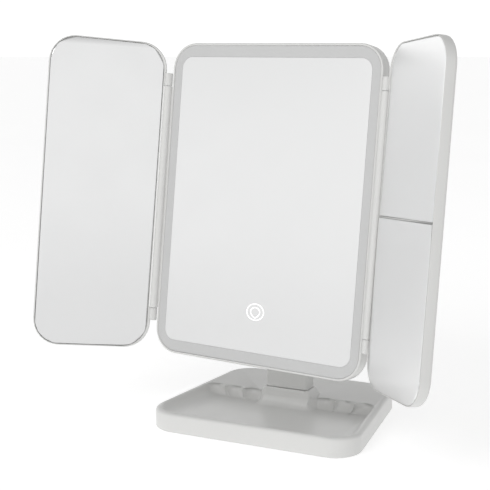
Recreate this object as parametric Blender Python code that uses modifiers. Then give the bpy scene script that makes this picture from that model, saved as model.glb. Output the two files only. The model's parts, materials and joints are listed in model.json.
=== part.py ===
"""Tri-fold lighted vanity mirror on a tray base.

Metres, +Z up. The origin is the middle of the base's underside, on the table.
The mirror faces -Y. Wings, tilt and swivel stand as the product is shown in use.

Head pieces are drawn in the panel frame: x to the right, y up the panel and z out of
the mirror, with z = 0 on the plane that holds both wing hinge axes. Wing pieces are
drawn in the same way, with x = 0 on their own hinge axis.
"""

import math

import bmesh
import bpy
from mathutils import Matrix, Vector

# ---- gaps -----------------------------------------------------------------------
GAP = 0.0003            # between pieces that touch or drop into each other
RUNNING = 0.0004        # round a part that turns

# ---- main panel -----------------------------------------------------------------
PANEL_WIDTH = 0.1870
PANEL_HEIGHT = 0.2509
PANEL_CORNER = 0.0198
FACE_BACK = 0.0004      # panel and wing faces lie this far behind the hinge plane
FRAME_RIM = 0.0021      # wall of the front frame, seen from the front
FRAME_DEPTH = 0.0087
EDGE_ROUND = 0.0010
LEDGE_WIDTH = 0.0024
LEDGE_THICK = 0.0015
GLASS_THICK = 0.0020
GLASS_SUNK = 0.0003     # glass below the rim
DIFFUSER_THICK = 0.0015
DIFFUSER_WIDTH = 0.0125
LED_BOARD_THICK = 0.0010
LED_BOARD_INSET = 0.0052
LED_BOARD_WIDTH = 0.0078
LED_SIZE = (0.0028, 0.0035, 0.0008)
LEDS_ACROSS = 6
LEDS_UP = 8
MID_PLATE_THICK = 0.0010
COVER_WALL = 0.0020
COVER_DEPTH = 0.0051
COVER_ROUND = 0.0036
TOUCH_RADIUS = 0.0080
TOUCH_THICK = 0.0010
TOUCH_BELOW_CENTRE = 0.0826
BOARD_SIZE = (0.056, 0.030, 0.0012)
BOARD_BELOW_CENTRE = 0.030

# ---- wings and their hinges -----------------------------------------------------
HINGE_FROM_SIDE = 0.0037     # hinge axis outside the panel's side
KNUCKLE_RADIUS = 0.0032
KNUCKLE_LENGTH = 0.0100
BARREL_LENGTH = 0.1810
PIN_RADIUS = 0.0011
PIN_GRIP = 0.0140            # pin inside the long barrel
WING_HEIGHT = 0.2486
WING_THICK = 0.0085
WING_CORNER = 0.0210
WING_BACK_ROUND = 0.0024
WING_RIM = 0.0009
WING_MEETING_GAP = 0.0012    # between the closed wings
WING_START = 0.0019          # wing's corners from its hinge axis
BARREL_WALL = 0.0007         # wing wall left between barrel notch and mirror
MIRROR_THICK = 0.0020
DIVIDER = 0.0010             # bar between the two right mirrors
LOWER_MIRROR_PROUD = 0.0006
LEFT_OPEN = math.radians(45.6)     # wings forward of the panel's own plane
RIGHT_OPEN = math.radians(42.6)

# ---- battery housing on the rear cover -------------------------------------------
CELL_RADIUS = 0.00525
CELL_LENGTH = 0.0437
CELL_NUB_RADIUS = 0.0019
CELL_NUB_LENGTH = 0.0008
CELL_COUNT = 4
CELL_SPACE = 0.0005          # between neighbouring cells
CONTACT_THICK = 0.0006
CONTACT_SPACE = 0.0028       # room for a contact at each end of the cells
HOUSING_WALL = 0.0085
HOUSING_CORNER = 0.0060
HOUSING_CENTRE = 0.010       # above the panel's centre
DOOR_THICK = 0.0013
DOOR_LIP = 0.0030
USB_SIZE = (0.0073, 0.0089, 0.0032)

# ---- tilt hinge -------------------------------------------------------------------
TILT = math.radians(7.74)
PIVOT_BELOW_CENTRE = 0.0720
PIVOT_BEHIND = 0.0275        # behind the hinge plane
TILT_BARREL_RADIUS = 0.0080
TILT_BARREL_LENGTH = 0.0200
EAR_THICK = 0.0050
EAR_RADIUS = 0.0085
WASHER_THICK = 0.0010
AXLE_RADIUS = 0.0025
AXLE_HEAD_RADIUS = 0.0048
AXLE_HEAD_LENGTH = 0.0028
BRACKET_WIDTH = 0.050
BRACKET_HEIGHT = 0.044
BRACKET_THICK = 0.0025
BRACKET_CORNER = 0.0050

# ---- neck and swivel ----------------------------------------------------------------
SWIVEL = math.radians(-6.94)
NECK_WIDTH = 0.0370
NECK_DEPTH = 0.0170
NECK_CORNER = 0.0035
NECK_FRONT = 0.0062          # y of the neck's front face
NECK_TOP = 0.0860
COLLAR_RADIUS = 0.0150       # round top of the neck and foot of the swivel block
PLUG_WIDTH = 0.0300
PLUG_DEPTH = 0.0120
PLUG_LENGTH = 0.0115
PANEL_CENTRE_AHEAD = 0.0449  # panel centre ahead of the swivel axis
PANEL_CENTRE_HEIGHT = 0.1784
SWIVEL_BLOCK_HEIGHT = 0.0130
BOLT_RADIUS = 0.0030
BOLT_HEAD_RADIUS = 0.0050
BOLT_HEAD_LENGTH = 0.0032
NUT_RADIUS = 0.0052
NUT_LENGTH = 0.0045
CHANNEL_WIDTH = 0.0220
CHANNEL_LOW = 0.0300
CHANNEL_HIGH = 0.0570
NECK_COVER_THICK = 0.0016
NECK_COVER_LIP = 0.0020

# ---- base -----------------------------------------------------------------------------
BASE_FRONT_WIDTH = 0.1780
BASE_BACK_WIDTH = 0.1466
BASE_DEPTH = 0.1482
BASE_HEIGHT = 0.0160
BASE_FRONT_CORNER = 0.0220
BASE_BACK_CORNER = 0.0220
BASE_LIFT = 0.0005           # skirt above the table
BASE_EDGE = 0.0026
RIM_WIDTH = 0.0050
FLOOR_FRONT = 0.0118         # height of the tray floor at the front
FLOOR_BACK = 0.0076          # and at the scalloped walls
WALL_Y = 0.0100              # scallop cusps
SCALLOP_DEPTH = 0.0066
SCALLOPS = 3
PEDESTAL_WIDTH = 0.0490
PEDESTAL_TOP = 0.0230
PEDESTAL_RIM = 0.0018        # ledge round the neck's foot
PEDESTAL_FILLET = 0.0080     # where its front runs out into the tray floor
PAD_THICK = 0.0010
PAD_INSET = 0.0150
PLATE_THICK = 0.0016
PLATE_INSET = 0.0023
WEIGHT_THICK = 0.0020
WEIGHT_INSET = 0.0130
BASE_SCREW_INSET = 0.0075

# ---- screws -----------------------------------------------------------------------------
SCREW_RADIUS = 0.0013
SCREW_HEAD_RADIUS = 0.0026
SCREW_HEAD_LENGTH = 0.0014
SCREW_LENGTH = 0.0080
NECK_SCREW_RADIUS = 0.0020
NECK_SCREW_HEAD_RADIUS = 0.0040
NECK_SCREW_LENGTH = 0.0130

CORNER_STEPS = 8
SMALL_CORNER_STEPS = 3
ROUND_SIDES = 24
SMALL_SIDES = 12

# ---- places worked out from the sizes -----------------------------------------------------
half_panel = (PANEL_WIDTH / 2, PANEL_HEIGHT / 2)
hinge_x = PANEL_WIDTH / 2 + HINGE_FROM_SIDE
wing_end = hinge_x - WING_MEETING_GAP / 2
notch = KNUCKLE_RADIUS + RUNNING
knuckle_low = BARREL_LENGTH / 2 + RUNNING
knuckle_high = knuckle_low + KNUCKLE_LENGTH
frame_back = -FACE_BACK - FRAME_DEPTH
glass_face = -FACE_BACK - GLASS_SUNK
diffuser_face = glass_face - GLASS_THICK - GAP
ledge_face = diffuser_face - DIFFUSER_THICK - GAP
led_face = ledge_face - LED_SIZE[2]
mid_face = led_face - LED_BOARD_THICK - GAP
mid_back = mid_face - MID_PLATE_THICK
cover_face = frame_back - GAP
cover_back = cover_face - COVER_DEPTH
cover_inside = cover_back + COVER_WALL
neck_y = NECK_FRONT + NECK_DEPTH / 2
block_low = NECK_TOP + WASHER_THICK + 2 * GAP
block_high = block_low + SWIVEL_BLOCK_HEIGHT
plate_low = PAD_THICK + GAP
plate_high = plate_low + PLATE_THICK
weight_low = plate_high + GAP
weight_high = weight_low + WEIGHT_THICK
tray_roof = weight_high + GAP
plug_bottom = PEDESTAL_TOP - PLUG_LENGTH


# ---- scene and shared tools -------------------------------------------------------------------
for old in list(bpy.data.objects):
    bpy.data.objects.remove(old, do_unlink=True)

parts = bpy.data.collections.new("lighted_vanity_mirror")
cutters = bpy.data.collections.new("cutters")
for collection in (parts, cutters):
    bpy.context.scene.collection.children.link(collection)


def material(name, colour, roughness, metallic=0.0):
    made = bpy.data.materials.new(name)
    made.use_nodes = True
    shader = made.node_tree.nodes["Principled BSDF"]
    shader.inputs["Base Color"].default_value = (*colour, 1.0)
    shader.inputs["Roughness"].default_value = roughness
    shader.inputs["Metallic"].default_value = metallic
    made.diffuse_color = (*colour, 1.0)
    return made


WHITE = ((0.80, 0.80, 0.79), 0.30, 0.0)
FROSTED = ((0.78, 0.79, 0.79), 0.55, 0.0)
MIRROR = ((0.90, 0.91, 0.91), 0.03, 1.0)
STEEL = ((0.56, 0.57, 0.58), 0.30, 1.0)
RUBBER = ((0.12, 0.12, 0.12), 0.80, 0.0)
BOARD = ((0.04, 0.20, 0.09), 0.50, 0.0)
NYLON = ((0.85, 0.85, 0.82), 0.45, 0.0)
CELL = ((0.10, 0.22, 0.42), 0.35, 0.4)
FOIL = ((0.88, 0.88, 0.86), 0.60, 0.0)


def put(name, mesh, finish=None, parent=None):
    """A node in the parts collection, or a hidden cutter where it has no finish."""
    made = bpy.data.objects.new(name, mesh)
    if finish:
        parts.objects.link(made)
        mesh.materials.append(material(name, *finish))
        mesh.shade_smooth()
        mesh.set_sharp_from_angle(angle=math.radians(35))
    else:
        cutters.objects.link(made)
        made.hide_render = True
        made.display_type = "WIRE"
    made.parent = parent
    return made


def empty(name, location, rotation, parent=None):
    made = bpy.data.objects.new(name, None)
    parts.objects.link(made)
    made.location = location
    made.rotation_euler = rotation
    made.parent = parent
    return made


def combine(target, operand, operation="DIFFERENCE"):
    cut = target.modifiers.new(operation.lower(), "BOOLEAN")
    cut.operation = operation
    cut.object = operand
    cut.solver = "EXACT"
    return target


def mesh_from(name, bm):
    bmesh.ops.recalc_face_normals(bm, faces=bm.faces)
    mesh = bpy.data.meshes.new(name)
    bm.to_mesh(mesh)
    bm.free()
    return mesh


def stack(name, loops, ring=False):
    """A solid skinned over loops of equal length: capped, or closed on itself as a ring."""
    bm = bmesh.new()
    rows = [[bm.verts.new(point) for point in loop] for loop in loops]
    if ring:
        rows.append(rows[0])
    for low, high in zip(rows, rows[1:]):
        for i, corner in enumerate(low):
            bm.faces.new((low[i - 1], corner, high[i], high[i - 1]))
    if not ring:
        bm.faces.new(rows[0])
        bm.faces.new(rows[-1])
    return mesh_from(name, bm)


def block(name, low, high):
    bm = bmesh.new()
    middle = [(a + b) / 2 for a, b in zip(low, high)]
    size = [b - a for a, b in zip(low, high)]
    place = Matrix.Translation(middle) @ Matrix.Diagonal((*size, 1.0))
    bmesh.ops.create_cube(bm, size=1.0, matrix=place)
    return mesh_from(name, bm)


def rod(name, radius, start, end, sides=ROUND_SIDES):
    """A cylinder between two points."""
    start, end = Vector(start), Vector(end)
    along = end - start
    turn = Vector((0, 0, 1)).rotation_difference(along).to_matrix().to_4x4()
    bm = bmesh.new()
    bmesh.ops.create_cone(
        bm, cap_ends=True, segments=sides, radius1=radius, radius2=radius,
        depth=along.length, matrix=Matrix.Translation((start + end) / 2) @ turn)
    return mesh_from(name, bm)


def turned(name, profile, finish, parent, location, rotation=(0, 0, 0), steps=16):
    """A lathe shape: (radius, height) from the top down, turned about the local Z axis."""
    mesh = bpy.data.meshes.new(name)
    points = [(radius, 0, height) for radius, height in profile]
    mesh.from_pydata(points, [(i, i + 1) for i in range(len(points) - 1)], [])
    made = put(name, mesh, finish, parent)
    made.location = location
    made.rotation_euler = rotation
    lathe = made.modifiers.new("lathe", "SCREW")
    lathe.steps = lathe.render_steps = steps
    lathe.use_merge_vertices = True
    lathe.merge_threshold = 0.00001
    lathe.use_smooth_shade = True
    return made


def rounded(corners, radii, steps=CORNER_STEPS):
    """A counter-clockwise outline with every corner turned into an arc."""
    points = []
    for i, radius in enumerate(radii):
        here = Vector(corners[i])
        back = (Vector(corners[i - 1]) - here).normalized()
        ahead = (Vector(corners[(i + 1) % len(corners)]) - here).normalized()
        half = back.angle(ahead) / 2
        centre = here + (back + ahead).normalized() * (radius / math.sin(half))
        start = here + back * (radius / math.tan(half)) - centre
        for step in range(steps + 1):
            turn = Matrix.Rotation((math.pi - 2 * half) * step / steps, 2)
            points.append(centre + turn @ start)
    return points


def box_outline(half_w, half_h, radius, steps=CORNER_STEPS, middle=(0.0, 0.0)):
    x, y = middle
    corners = [(x + half_w, y - half_h), (x + half_w, y + half_h),
               (x - half_w, y + half_h), (x - half_w, y - half_h)]
    return rounded(corners, [radius] * 4, steps)


def at_height(outline, z):
    return [(point[0], point[1], z) for point in outline]


def quarter(radius, steps, start_inset, start_depth):
    """Insets and depths of a rounded edge, from the side wall to the face."""
    for step in range(steps + 1):
        angle = math.pi / 2 * step / steps
        yield (start_inset + radius * (1 - math.cos(angle)),
               start_depth + radius * math.sin(angle))


def screw(name, parent, head_at, rotation=(0, 0, 0), length=SCREW_LENGTH,
          radius=SCREW_RADIUS, head=SCREW_HEAD_RADIUS):
    """A pan-head screw: local Z points out of its head, which seats at head_at."""
    profile = [(0, SCREW_HEAD_LENGTH), (head * 0.75, SCREW_HEAD_LENGTH * 0.92),
               (head, SCREW_HEAD_LENGTH * 0.35), (head, 0), (radius, 0),
               (radius, radius - length), (0, -length)]
    return turned(name, profile, STEEL, parent, head_at, rotation, SMALL_SIDES)


# ---- joint frames -------------------------------------------------------------------------------
swivel_frame = empty("swivel_axis", (0, neck_y, 0), (0, 0, SWIVEL))
up_panel = Vector((0, math.sin(TILT), math.cos(TILT)))
out_of_panel = Vector((0, -math.cos(TILT), math.sin(TILT)))
panel_centre = Vector((0, -PANEL_CENTRE_AHEAD, PANEL_CENTRE_HEIGHT))
pivot = panel_centre - up_panel * PIVOT_BELOW_CENTRE - out_of_panel * PIVOT_BEHIND
tilt_frame = empty("tilt_axis", pivot, (math.pi / 2 - TILT, 0, 0), swivel_frame)
panel = empty("panel_centre", (0, PIVOT_BELOW_CENTRE, PIVOT_BEHIND), (0, 0, 0), tilt_frame)
wing_frames = {
    -1: empty("left_hinge_axis", (-hinge_x, 0, 0), (0, LEFT_OPEN, 0), panel),
    1: empty("right_hinge_axis", (hinge_x, 0, 0), (0, -RIGHT_OPEN, 0), panel),
}


def panel_loop(inset, z):
    outline = box_outline(half_panel[0] - inset, half_panel[1] - inset, PANEL_CORNER - inset)
    return at_height(outline, z)


def panel_ring(name, profile, finish=None):
    loops = [panel_loop(inset, z) for inset, z in profile]
    return put(name, stack(name, loops, ring=True), finish, panel)


# ---- head: front frame with the two long hinge barrels -------------------------------------------
def pin_hole(side, end):
    """Cutter for one hinge pin, through the wing's knuckle and into the barrel."""
    name = f"pin_hole_{side}_{end}"
    start = (side * hinge_x, end * (BARREL_LENGTH / 2 - PIN_GRIP - GAP), 0)
    finish = (side * hinge_x, end * (knuckle_high + GAP), 0)
    return put(name, rod(name, PIN_RADIUS + GAP, start, finish, SMALL_SIDES), None, panel)


def front_frame():
    face = -FACE_BACK
    edge = [(inset, face - EDGE_ROUND + rise) for inset, rise in quarter(EDGE_ROUND, 2, 0, 0)]
    ledge_inset = FRAME_RIM + LEDGE_WIDTH
    profile = [(0, frame_back), *edge, (FRAME_RIM, face), (FRAME_RIM, ledge_face),
               (ledge_inset, ledge_face), (ledge_inset, ledge_face - LEDGE_THICK),
               (FRAME_RIM, ledge_face - LEDGE_THICK), (FRAME_RIM, frame_back)]
    frame = panel_ring("head_front_frame", profile, WHITE)
    half = BARREL_LENGTH / 2
    for side in (-1, 1):
        x = side * hinge_x
        name = f"barrel_{side}"
        combine(frame, put(name, rod(name, KNUCKLE_RADIUS, (x, -half, 0), (x, half, 0)),
                           None, panel), "UNION")
        inner = side * (PANEL_WIDTH / 2 - FRAME_RIM * 0.7)
        name = f"barrel_web_{side}"
        web = block(name, (min(x, inner), -half + GAP, -KNUCKLE_RADIUS * 0.85),
                    (max(x, inner), half - GAP, -FACE_BACK - GAP))
        combine(frame, put(name, web, None, panel), "UNION")
        for end in (-1, 1):
            combine(frame, pin_holes[side, end])


def hinge_pins():
    for side, which in ((-1, "left"), (1, "right")):
        for end, level in ((1, "upper"), (-1, "lower")):
            name = f"{which}_hinge_pin_{level}"
            start = (side * hinge_x, end * (BARREL_LENGTH / 2 - PIN_GRIP), 0)
            finish = (side * hinge_x, end * knuckle_high, 0)
            put(name, rod(name, PIN_RADIUS, start, finish, SMALL_SIDES), STEEL, panel)


pin_holes = {(side, end): pin_hole(side, end) for side in (-1, 1) for end in (-1, 1)}
front_frame()
hinge_pins()


# ---- head: glass, light ring and boards --------------------------------------------------------------
def light_parts():
    fit = FRAME_RIM + GAP
    loops = [panel_loop(fit, glass_face - GLASS_THICK), panel_loop(fit, glass_face - GAP),
             panel_loop(fit + GAP, glass_face)]
    put("main_mirror_glass", stack("main_mirror_glass", loops), MIRROR, panel)

    back = diffuser_face - DIFFUSER_THICK
    wide = fit + DIFFUSER_WIDTH
    panel_ring("light_diffuser", [(fit, back), (fit, diffuser_face),
                                  (wide, diffuser_face), (wide, back)], FROSTED)

    near, far = LED_BOARD_INSET, LED_BOARD_INSET + LED_BOARD_WIDTH
    back = led_face - LED_BOARD_THICK
    board = panel_ring("led_board", [(near, back), (near, led_face), (far, led_face),
                                     (far, back)], FOIL)
    combine(board, put("led_chips", led_chips(), None, panel), "UNION")

    name = "touch_sensor_pad"
    middle = (0, -TOUCH_BELOW_CENTRE)
    put(name, rod(name, TOUCH_RADIUS, (*middle, diffuser_face - TOUCH_THICK),
                  (*middle, diffuser_face)), NYLON, panel)


def led_chips():
    """Chips along the board's four straight runs, each sunk a little into the board."""
    inset = LED_BOARD_INSET + LED_BOARD_WIDTH / 2
    bm = bmesh.new()
    sunk = LED_BOARD_THICK / 2
    width, length, rise = LED_SIZE
    runs = ((LEDS_ACROSS, 0, half_panel[0] - PANEL_CORNER, half_panel[1] - inset),
            (LEDS_UP, 1, half_panel[1] - PANEL_CORNER, half_panel[0] - inset))
    for count, along, reach, offset in runs:
        size = (length, width) if along == 0 else (width, length)
        for i in range(count):
            run = -reach + 2 * reach * (i + 0.5) / count
            for side in (-1, 1):
                place = (run, side * offset) if along == 0 else (side * offset, run)
                move = Matrix.Translation((*place, led_face + (rise - sunk) / 2))
                scale = Matrix.Diagonal((*size, rise + sunk, 1.0))
                bmesh.ops.create_cube(bm, size=1.0, matrix=move @ scale)
    return mesh_from("led_chips", bm)


def mid_plate():
    """White plate behind the lights, with four posts that take the rear cover's screws."""
    fit = FRAME_RIM + GAP
    loops = [panel_loop(fit, mid_back), panel_loop(fit, mid_face)]
    plate = put("light_mid_plate", stack("light_mid_plate", loops), FOIL, panel)
    for i, (x, y) in enumerate(cover_screw_places):
        name = f"mid_plate_post_{i + 1}"
        post = rod(name, SCREW_HEAD_RADIUS + GAP, (x, y, cover_inside + GAP),
                   (x, y, mid_face - GAP), SMALL_SIDES)
        combine(plate, put(name, post, None, panel), "UNION")
        name = f"mid_plate_hole_{i + 1}"
        hole = rod(name, SCREW_RADIUS + GAP, (x, y, cover_back), (x, y, mid_back), SMALL_SIDES)
        combine(plate, put(name, hole, None, panel))


cover_screw_x = half_panel[0] - PANEL_CORNER - LED_BOARD_WIDTH / 2
cover_screw_y = half_panel[1] - PANEL_CORNER - LED_BOARD_WIDTH / 2
cover_screw_places = [(x * cover_screw_x, y * cover_screw_y)
                      for x, y in ((-1, 1), (1, 1), (1, -1), (-1, -1))]
light_parts()
mid_plate()


# ---- head: rear cover, battery housing and what it holds --------------------------------------------
cell_pitch = 2 * CELL_RADIUS + CELL_SPACE
cells_width = CELL_COUNT * cell_pitch
cells_room = CELL_LENGTH + CELL_NUB_LENGTH + 2 * CONTACT_SPACE
pocket_half = (cells_width / 2 + GAP, cells_room / 2)
pocket_floor = cover_back + GAP + COVER_WALL / 3
cell_z = pocket_floor - GAP - CELL_RADIUS
door_face = cell_z - CELL_RADIUS - GAP
housing_back = door_face - DOOR_THICK
housing_half = (pocket_half[0] + HOUSING_WALL, pocket_half[1] + HOUSING_WALL * 0.6)
bracket_face = cover_back - GAP
bracket_screws = [(x * (BRACKET_WIDTH / 2 - BRACKET_CORNER),
                   -PIVOT_BELOW_CENTRE + y * (BRACKET_HEIGHT / 2 - BRACKET_CORNER))
                  for x, y in ((-1, 1), (1, 1), (1, -1), (-1, -1))]


def housing_loop(shrink, z):
    outline = box_outline(housing_half[0] - shrink, housing_half[1] - shrink,
                          HOUSING_CORNER - shrink, SMALL_CORNER_STEPS, (0, HOUSING_CENTRE))
    return at_height(outline, z)


def rear_cover():
    edge = [(inset, cover_back + COVER_ROUND - rise)
            for inset, rise in quarter(COVER_ROUND, 3, 0, 0)]
    profile = [(COVER_WALL + COVER_ROUND / 2, cover_inside),
               (COVER_WALL, cover_inside + COVER_ROUND / 3),
               (COVER_WALL, cover_face), (0, cover_face), *edge]
    loops = [panel_loop(inset, z) for inset, z in profile]
    cover = put("head_rear_cover", stack("head_rear_cover", loops), WHITE, panel)

    soften = HOUSING_CORNER / 3
    shell = stack("battery_housing", [
        housing_loop(-soften, cover_back + COVER_WALL / 3), housing_loop(0, cover_back - soften),
        housing_loop(soften / 4, housing_back + soften), housing_loop(soften, housing_back)])
    combine(cover, put("battery_housing", shell, None, panel), "UNION")

    well = box_outline(*pocket_half, GAP, 1, (0, HOUSING_CENTRE))
    below = housing_back - GAP
    pocket = stack("battery_pocket", [at_height(well, below), at_height(well, pocket_floor)])
    combine(cover, put("battery_pocket", pocket, None, panel))
    seat = door_outline(GAP)
    recess = stack("door_recess", [at_height(seat, below), at_height(seat, door_face + GAP)])
    combine(cover, put("door_recess", recess, None, panel))

    deep, wide, tall = (size + 2 * GAP for size in USB_SIZE)
    z = usb_place[2]
    slot = block("usb_slot", (usb_place[0] - deep / 2, usb_place[1] - wide / 2, z - tall / 2),
                 (housing_half[0] + GAP, usb_place[1] + wide / 2, z + tall / 2))
    combine(cover, put("usb_slot", slot, None, panel))

    holes = [*cover_screw_places, *bracket_screws]
    for i, (x, y) in enumerate(holes):
        name = f"cover_hole_{i + 1}"
        hole = rod(name, SCREW_RADIUS + GAP, (x, y, cover_back - GAP), (x, y, cover_inside + GAP),
                   SMALL_SIDES)
        combine(cover, put(name, hole, None, panel))


def door_outline(clearance=0.0):
    half_w = pocket_half[0] + DOOR_LIP + clearance
    half_h = pocket_half[1] + DOOR_LIP + clearance
    return box_outline(half_w, half_h, DOOR_LIP, SMALL_CORNER_STEPS, (0, HOUSING_CENTRE))


def battery_parts():
    half = door_outline()
    door = stack("battery_door", [at_height(half, housing_back), at_height(half, door_face)])
    door = put("battery_door", door, WHITE, panel)
    grip = block("door_grip", (-DOOR_LIP * 3, HOUSING_CENTRE + pocket_half[1] - DOOR_LIP / 2,
                               housing_back - GAP),
                 (DOOR_LIP * 3, HOUSING_CENTRE + pocket_half[1] + DOOR_LIP / 3,
                  housing_back + DOOR_THICK / 2))
    combine(door, put("door_grip", grip, None, panel))

    half_length = CELL_LENGTH / 2
    for i in range(CELL_COUNT):
        x = (i - (CELL_COUNT - 1) / 2) * cell_pitch
        way = 1 if i % 2 else -1
        nub = half_length + CELL_NUB_LENGTH
        profile = [(0, nub), (CELL_NUB_RADIUS, nub), (CELL_NUB_RADIUS, half_length),
                   (CELL_RADIUS - GAP, half_length), (CELL_RADIUS, half_length - GAP),
                   (CELL_RADIUS, -half_length + GAP), (CELL_RADIUS - GAP, -half_length),
                   (0, -half_length)]
        middle = (x, HOUSING_CENTRE - way * CELL_NUB_LENGTH / 2, cell_z)
        turned(f"battery_{i + 1}", profile, CELL, panel, middle, (-way * math.pi / 2, 0, 0))

    for end, level in ((1, "top"), (-1, "bottom")):
        name = f"battery_contact_{level}"
        wall = HOUSING_CENTRE + end * (pocket_half[1] - GAP)
        strip = block(name, (-pocket_half[0] + GAP, min(wall, wall - end * CONTACT_THICK),
                             cell_z - CELL_RADIUS + GAP),
                      (pocket_half[0] - GAP, max(wall, wall - end * CONTACT_THICK),
                       cell_z + CELL_RADIUS - GAP))
        contact = put(name, strip, STEEL, panel)
        combine(contact, put(f"{name}_springs", contact_domes(end, wall), None, panel), "UNION")


def contact_domes(end, wall):
    """Cones that stand for the spring contacts, one against each cell."""
    bm = bmesh.new()
    reach = CONTACT_SPACE - CONTACT_THICK - 2 * GAP
    for i in range(CELL_COUNT):
        x = (i - (CELL_COUNT - 1) / 2) * cell_pitch
        middle = Matrix.Translation((x, wall - end * (CONTACT_THICK / 2 + reach / 2), cell_z))
        turn = Matrix.Rotation(end * math.pi / 2, 4, "X")
        bmesh.ops.create_cone(bm, cap_ends=True, segments=SMALL_SIDES, radius1=CELL_RADIUS * 0.6,
                              radius2=CELL_RADIUS * 0.3, depth=reach, matrix=middle @ turn)
    return mesh_from("contact_domes", bm)


def electronics():
    name = "control_board"
    width, height, thick = BOARD_SIZE
    high = mid_back - GAP
    low = (-width / 2, -BOARD_BELOW_CENTRE - height / 2, high - thick)
    put(name, block(name, low, (width / 2, -BOARD_BELOW_CENTRE + height / 2, high)), BOARD, panel)

    name = "usb_socket"
    deep, wide, tall = USB_SIZE
    x, y, z = usb_place
    shell = block(name, (x - deep / 2, y - wide / 2, z - tall / 2),
                  (x + deep / 2, y + wide / 2, z + tall / 2))
    socket = put(name, shell, STEEL, panel)
    wall = GAP * 1.2
    mouth = block("usb_mouth", (x - deep / 4, y - wide / 2 + wall, z - tall / 2 + wall),
                  (x + deep, y + wide / 2 - wall, z + tall / 2 - wall))
    combine(socket, put("usb_mouth", mouth, None, panel))


usb_place = (housing_half[0] - USB_SIZE[0] / 2 - GAP, HOUSING_CENTRE + DOOR_LIP * 2,
             (cover_back + housing_back) / 2)
rear_cover()
battery_parts()
electronics()
for number, (place_x, place_y) in enumerate(cover_screw_places, 1):
    screw(f"rear_cover_screw_{number}", panel, (place_x, place_y, cover_back - GAP),
          (math.pi, 0, 0), cover_inside - cover_back - GAP * 2 + 0.0030)


# ---- tilt hinge: bracket on the head, axle, washers and nut --------------------------------------------
def lug_outline(radius, centre, foot_low, foot_high, steps=10):
    """Side view of a lug: a foot from foot_low to foot_high, and a round nose at centre."""
    centre, foot_low, foot_high = Vector(centre), Vector(foot_low), Vector(foot_high)

    def tangent(point, turn):
        away = point - centre
        reach = math.acos(radius / away.length)
        return math.atan2(away.y, away.x) + turn * reach

    first, last = tangent(foot_low, 1), tangent(foot_high, -1)
    while last < first:
        last += 2 * math.pi
    nose = [centre + radius * Vector((math.cos(first + (last - first) * i / steps),
                                      math.sin(first + (last - first) * i / steps)))
            for i in range(steps + 1)]
    return [foot_low, *nose, foot_high]


def tilt_bracket():
    plate = box_outline(BRACKET_WIDTH / 2, BRACKET_HEIGHT / 2, BRACKET_CORNER,
                        SMALL_CORNER_STEPS, (0, -PIVOT_BELOW_CENTRE))
    name = "tilt_bracket"
    bracket = put(name, stack(name, [at_height(plate, bracket_face - BRACKET_THICK),
                                     at_height(plate, bracket_face)]), WHITE, panel)
    y = -PIVOT_BELOW_CENTRE
    foot = bracket_face - BRACKET_THICK / 2
    reach = BRACKET_HEIGHT * 0.36
    side_view = lug_outline(EAR_RADIUS, (y, -PIVOT_BEHIND), (y - reach, foot), (y + reach, foot))
    for side in (-1, 1):
        name = f"ear_{side}"
        inner = side * ear_inner
        outer = side * (ear_inner + EAR_THICK)
        ear = stack(name, [[(x, point[0], point[1]) for point in side_view]
                           for x in (inner, outer)])
        combine(bracket, put(name, ear, None, panel), "UNION")
    reach = ear_inner + EAR_THICK + GAP
    bore = rod("bracket_bore", AXLE_RADIUS + GAP, (-reach, y, -PIVOT_BEHIND),
               (reach, y, -PIVOT_BEHIND))
    combine(bracket, put("bracket_bore", bore, None, panel))
    for i, (x, y) in enumerate(bracket_screws):
        name = f"bracket_hole_{i + 1}"
        hole = rod(name, SCREW_RADIUS + GAP, (x, y, bracket_face - BRACKET_THICK - GAP),
                   (x, y, bracket_face + GAP), SMALL_SIDES)
        combine(bracket, put(name, hole, None, panel))
        screw(f"bracket_screw_{i + 1}", panel, (x, y, bracket_face - BRACKET_THICK - GAP),
              (math.pi, 0, 0), BRACKET_THICK + COVER_WALL)


def tilt_axle():
    """Shoulder bolt along the tilt axis: head on the right, nut on the left."""
    half = ear_inner + EAR_THICK + GAP
    profile = [(0, half + AXLE_HEAD_LENGTH), (AXLE_HEAD_RADIUS * 0.8, half + AXLE_HEAD_LENGTH),
               (AXLE_HEAD_RADIUS, half + AXLE_HEAD_LENGTH / 2), (AXLE_HEAD_RADIUS, half),
               (AXLE_RADIUS, half), (AXLE_RADIUS, -half - AXLE_HEAD_LENGTH), (0, -half - AXLE_HEAD_LENGTH)]
    place = (0, -PIVOT_BELOW_CENTRE, -PIVOT_BEHIND)
    turned("tilt_axle", profile, STEEL, panel, place, (0, math.pi / 2, 0))

    name = "tilt_axle_nut"
    nut = put(name, rod(name, AXLE_HEAD_RADIUS, (-half - AXLE_HEAD_LENGTH, *place[1:]),
                        (-half, *place[1:]), 6), STEEL, panel)
    bore = rod("nut_bore", AXLE_RADIUS + GAP, (-half - AXLE_HEAD_LENGTH * 2, *place[1:]),
               (0, *place[1:]), SMALL_SIDES)
    combine(nut, put("nut_bore", bore, None, panel))

    for side, which in ((-1, "left"), (1, "right")):
        name = f"tilt_washer_{which}"
        near = TILT_BARREL_LENGTH / 2 + GAP
        ring_loops = []
        for radius, x in ((AXLE_RADIUS + GAP, near), (AXLE_RADIUS + GAP, near + WASHER_THICK),
                          (TILT_BARREL_RADIUS - GAP, near + WASHER_THICK),
                          (TILT_BARREL_RADIUS - GAP, near)):
            ring_loops.append([(side * x, place[1] + radius * math.cos(a), place[2] + radius * math.sin(a))
                               for a in circle_angles])
        put(name, stack(name, ring_loops, ring=True), NYLON, panel)


circle_angles = [2 * math.pi * i / ROUND_SIDES for i in range(ROUND_SIDES)]
ear_inner = TILT_BARREL_LENGTH / 2 + WASHER_THICK + 2 * GAP
tilt_bracket()
tilt_axle()


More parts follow.
